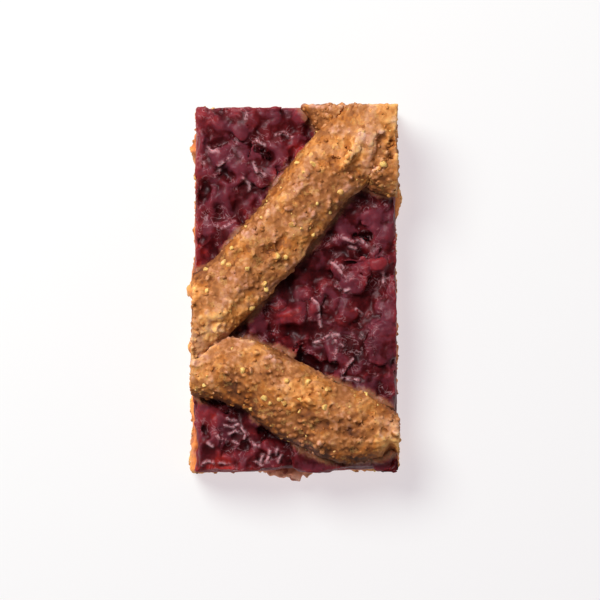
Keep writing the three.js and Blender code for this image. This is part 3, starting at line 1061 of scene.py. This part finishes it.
def raise_lip(filling):
    """Draws the jam up a little where it meets the rolls."""
    corners = places(filling.data)
    by_roll = closeness(corners, ROLLS, LIP_REACH)
    store(filling, "by_roll", by_roll)
    facing_up = ramp(normals_of(filling.data)[:, 2], 0.2, 0.7)
    on_top = ramp(corners[:, 2], JAM_TOP - 2.0 * MM, JAM_TOP - 0.8 * MM)
    corners[:, 2] += LIP_HEIGHT * by_roll * facing_up * on_top
    move_to(filling.data, corners)


def make_jam(jam):
    filling = copy_of_node("cherry_jam", "cherry_filling")
    filling = join([filling, *pieces_of_fruit(filling, jam)], "cherry_filling")
    trim_to_cut(filling)
    remesh(filling, jam.voxel)
    shape_by(filling, "SMOOTH", factor=0.5, iterations=8)
    weigh_parts(filling)
    relief(filling, None, JAM_SWELL, 0.0, "inner")
    mounds, skins, wrinkles, pulp, cut = jam_textures()
    relief(filling, mounds, jam.mound_depth, where="upper")
    relief(filling, skins, jam.skin_depth, 0.3, "upper")
    for pixels, half_width, height in FOLDS["cherry_jam"]:
        press_line(filling, pixels, half_width * MM, height * MM)
    # The threads stand out, and their pale colour is partly painted glints.
    threads = [press_line(filling, pixels, THREAD_WIDTH / 2, height * MM) for pixels, height in THREADS_AND_GLINTS]
    store(filling, "thread", np.max(threads, axis=0))
    raise_lip(filling)
    trim_to_cut(filling)
    keep_low(filling, JAM_TOP + TOP_RELIEF)
    relief(filling, wrinkles, jam.wrinkle_depth, 0.35, "upper")
    relief(filling, pulp, FINE_DEPTH, where="upper")
    relief(filling, cut, CUT_RELIEF)
    keep_under(filling, MOST_TRIANGLES)
    mark_hollows(filling, "hollow", 5)
    mark_hollows(filling, "basin", 35)
    settle(filling, jam_finish("cherry_jam_wet", jam), ["cherry_jam"])
    return filling


# ---- Nuts and crumbs ----


NUT_KINDS_SEED = 3


def nut_kinds():
    """Four sharp-edged bits of chopped nut, each about 2 m long, ready to be scaled."""
    chance = random.Random(NUT_KINDS_SEED)
    kinds = []
    for _ in range(4):
        bpy.ops.object.select_all(action="DESELECT")
        bpy.ops.mesh.primitive_ico_sphere_add(subdivisions=2, radius=1.0)
        kind = bpy.context.active_object
        for _ in range(4):
            cut = Vector((chance.uniform(-1, 1), chance.uniform(-1, 1), chance.uniform(-1, 1))).normalized()
            place = cut * chance.uniform(0.35, 0.7)
            edit(kind, bpy.ops.mesh.bisect, plane_co=place, plane_no=cut, clear_outer=True, use_fill=True)
        shape_by(kind, "BEVEL", width=0.06, segments=1, limit_method="ANGLE")
        kinds.append(kind)
    return kinds


# The palest and largest bits of nut on the rolls, as pixels of the photograph.
BRIGHT_NUTS = (
    (224, 262), (230, 266), (248, 269), (265, 284), (267, 289), (278, 256), (285, 257), (264, 398),
    (280, 398), (284, 402), (300, 398), (287, 380), (308, 382), (325, 406), (207, 269), (232, 248),
    (292, 225), (340, 193), (297, 163), (313, 165), (252, 308), (243, 370), (383, 166), (328, 389),
)


def nut_at(kinds, place, normal, size, chance, depth):
    """One bit of nut, sunk in the surface by this share of its size."""
    turn = any_turn(chance)
    stretch = Vector((1.0, chance.uniform(0.6, 0.95), chance.uniform(0.55, 0.9))) * size
    return copy_of(chance.choice(kinds), place - normal * size * depth, turn, stretch)


def make_nuts(toppings, rolls, base):
    chance = random.Random(toppings.seed)
    kinds = nut_kinds()
    bits = []
    for pixel in BRIGHT_NUTS:
        for roll in rolls:
            hit, place, normal, _ = roll.ray_cast(Vector((*at_pixel(pixel), ABOVE_ALL)), DOWN)
            if hit:
                bits.append(nut_at(kinds, place, normal, toppings.nut_size, chance, 0.25))
    for place, normal in spots_on(faces_between(rolls, -0.2, STRAIGHT_UP), toppings.nuts, chance):
        size = toppings.nut_size * (0.25 + 0.55 * chance.random() ** 2)
        bits.append(nut_at(kinds, place, normal, size, chance, 0.35))
    for place, normal in spots_on(faces_between([base], -0.4, 0.5), toppings.side_nuts, chance):
        size = toppings.nut_size * (0.35 + 0.6 * chance.random() ** 2)
        bits.append(nut_at(kinds, place, normal, size, chance, 0.45))
    nuts = join(bits, "chopped_nuts")
    clear_away(kinds)
    settle(nuts, nut_finish("chopped_nut", toppings))
    return nuts


# Where one roll meets another, as lines in the photograph's pixels; loose crumbs have gathered there.
SEAMS = (((309, 129), (318, 119), (328, 108)), ((371, 191), (374, 177), (382, 165), (395, 151)))
SEAM_SPREAD = (-7, 7)  # how many pixels off the line they lie
SEAM_CRUMBS = 9  # on each straight stretch of it


def seam_spots(rolls, chance):
    """Places along the seams on top of the rolls, each with a normal."""
    spots = []
    for line in SEAMS:
        for start, end in zip(line, line[1:]):
            for _ in range(SEAM_CRUMBS):
                share = chance.random()
                pixel = [a + share * (b - a) + chance.uniform(*SEAM_SPREAD) for a, b in zip(start, end)]
                above = Vector((*at_pixel(pixel), ABOVE_ALL))
                hits = [roll.ray_cast(above, DOWN) for roll in rolls]
                found = [hit[1:3] for hit in hits if hit[0]]
                if found:
                    spots.append(max(found, key=lambda spot: spot[0].z))
    return spots


def make_crumbs(toppings, dough, base, rolls):
    chance = random.Random(toppings.seed + 1)
    kinds = crumb_kinds(2)
    bits = []
    spots = spots_on(faces_between([base], -0.3, 0.6), toppings.crumbs, chance)
    spots += spots_on(faces_between(rolls, 0.0, STRAIGHT_UP), toppings.crumbs, chance)
    for place, normal in spots + seam_spots(rolls, chance):
        size = toppings.crumb_size * (0.35 + 0.6 * chance.random() ** 2)
        turn = any_turn(chance)
        stretch = Vector((1.0, chance.uniform(0.6, 1), chance.uniform(0.6, 1))) * size
        centre = place - normal * 0.2 * size
        if centre.z > 1.3 * size:
            bits.append(copy_of(chance.choice(kinds), centre, turn, stretch))
    crumbs = join(bits, "crumbs")
    clear_away(kinds)
    settle(crumbs, dough_finish("crumb_dough", dough, SOAKED_AND_SHADED, -0.02))
    return crumbs


# ---- Stage ----


KEY_PLACE = (-0.24, 0.30, 0.50)  # beyond the slice's far left corner, as the photograph's shadows show
DIM_FROM, DIM_TO = 0.72, 0.97  # how high up the room's ceiling starts to darken, and where it is darkest
FLOOR_WIDTH = 4.0
FLOOR_GAP = 0.02 * MM  # how far the floor lies below the slice's foot
SENSOR_WIDTH = 36.0  # in millimetres, as the lens


def make_stage(stage):
    bpy.ops.object.select_all(action="DESELECT")
    bpy.ops.mesh.primitive_plane_add(size=FLOOR_WIDTH, location=(0, 0, -FLOOR_GAP))
    floor = bpy.context.active_object
    floor.name = "floor"
    bpy.ops.object.transform_apply(location=True, rotation=True, scale=True)
    finish = Finish("pale_floor")
    finish.set(
        Base_Color=(*stage.floor, 1.0),
        Roughness=0.9,
        Specular_IOR_Level=0.1,
        Emission_Color=(*stage.glow, 1.0),
        Emission_Strength=1.0,
    )
    floor.data.materials.append(finish.material)

    scene = bpy.context.scene
    scene.view_settings.view_transform = "Standard"
    scene.world = bpy.data.worlds.new("white_room")
    scene.world.use_nodes = True
    room = scene.world.node_tree
    place = room.nodes.new("ShaderNodeTexCoord")
    parts = room.nodes.new("ShaderNodeSeparateXYZ")
    height = room.nodes.new("ShaderNodeMapRange")
    height.interpolation_type = "SMOOTHSTEP"
    height.inputs["From Min"].default_value = DIM_FROM
    height.inputs["From Max"].default_value = DIM_TO
    height.inputs["To Min"].default_value = stage.room
    height.inputs["To Max"].default_value = stage.room * stage.overhead
    room.links.new(place.outputs["Generated"], parts.inputs["Vector"])
    room.links.new(parts.outputs["Z"], height.inputs["Value"])
    room.links.new(height.outputs["Result"], room.nodes["Background"].inputs["Strength"])
    room.nodes["Background"].inputs["Color"].default_value = (1.0, 1.0, 1.0, 1.0)

    bpy.ops.object.light_add(type="AREA", location=KEY_PLACE)
    key = bpy.context.active_object
    key.data.shape = "DISK"
    key.data.size = stage.key_size
    key.data.energy = stage.key
    key.rotation_mode = "QUATERNION"
    key.rotation_quaternion = (-key.location).to_track_quat("-Z", "Y")

    x, y = at_pixel(PHOTO_MIDDLE)
    distance = PHOTO_WIDTH * PHOTO_PIXEL * stage.lens / SENSOR_WIDTH
    bpy.ops.object.camera_add(location=(x, y, JAM_TOP + distance), rotation=(0, 0, 0))
    camera = bpy.context.active_object
    camera.data.lens = stage.lens
    camera.data.sensor_width = SENSOR_WIDTH
    camera.data.clip_start = 0.01
    scene.camera = camera


# ---- The add-on's operators, panel and start ----

MADE = {}  # the pieces that are finished, by what they are


class LINZER_OT_base(bpy.types.Operator):
    """Bake the base of nut dough"""

    bl_idname = "linzer.base"
    bl_label = "Base"

    def execute(self, context):
        MADE["base"] = make_base(context.scene.linzer_dough)
        return {"FINISHED"}


class LINZER_OT_jam(bpy.types.Operator):
    """Fill the slice with cherry jam"""

    bl_idname = "linzer.jam"
    bl_label = "Jam"

    def execute(self, context):
        MADE["jam"] = make_jam(context.scene.linzer_jam)
        return {"FINISHED"}


class LINZER_OT_rolls(bpy.types.Operator):
    """Lay the rolls of dough on the jam"""

    bl_idname = "linzer.rolls"
    bl_label = "Rolls"

    def execute(self, context):
        dough = context.scene.linzer_dough
        finish = dough_finish("roll_dough_baked", dough, SOAKED_AND_SHADED)
        MADE["rolls"] = [make_roll(node, dough, finish) for node in ROLLS]
        return {"FINISHED"}


class LINZER_OT_nuts(bpy.types.Operator):
    """Press chopped nuts into the dough"""

    bl_idname = "linzer.nuts"
    bl_label = "Nuts"

    def execute(self, context):
        MADE["nuts"] = make_nuts(context.scene.linzer_toppings, MADE["rolls"], MADE["base"])
        return {"FINISHED"}


class LINZER_OT_crumbs(bpy.types.Operator):
    """Scatter crumbs over the base and the rolls"""

    bl_idname = "linzer.crumbs"
    bl_label = "Crumbs"

    def execute(self, context):
        scene = context.scene
        MADE["crumbs"] = make_crumbs(scene.linzer_toppings, scene.linzer_dough, MADE["base"], MADE["rolls"])
        return {"FINISHED"}


class LINZER_OT_stage(bpy.types.Operator):
    """Set up floor, light and camera"""

    bl_idname = "linzer.stage"
    bl_label = "Stage"

    def execute(self, context):
        make_stage(context.scene.linzer_stage)
        return {"FINISHED"}


class LINZER_PT_slice(bpy.types.Panel):
    """The steps of the slice and their settings"""

    bl_idname = "LINZER_PT_slice"
    bl_label = "Linzer Slice"
    bl_space_type = "VIEW_3D"
    bl_region_type = "UI"
    bl_category = "Linzer Slice"

    def draw(self, context):
        for group in SETTINGS:
            settings = getattr(context.scene, group)
            box = self.layout.box()
            for name in settings.__annotations__:
                box.prop(settings, name)
        for step in STEPS:
            self.layout.operator(step.bl_idname)


SETTINGS = {
    "linzer_dough": DoughSettings,
    "linzer_jam": JamSettings,
    "linzer_toppings": ToppingSettings,
    "linzer_stage": StageSettings,
}
STEPS = (LINZER_OT_base, LINZER_OT_jam, LINZER_OT_rolls, LINZER_OT_nuts, LINZER_OT_crumbs, LINZER_OT_stage)
CLASSES = (*SETTINGS.values(), *STEPS, LINZER_PT_slice)


def register():
    for made in CLASSES:
        bpy.utils.register_class(made)
    for name, group in SETTINGS.items():
        setattr(bpy.types.Scene, name, bpy.props.PointerProperty(type=group))


def unregister():
    for name in SETTINGS:
        delattr(bpy.types.Scene, name)
    for made in reversed(CLASSES):
        bpy.utils.unregister_class(made)


def main():
    register()
    for step in STEPS:
        group, name = step.bl_idname.split(".")
        getattr(getattr(bpy.ops, group), name)()


if __name__ == "__main__":
    main()
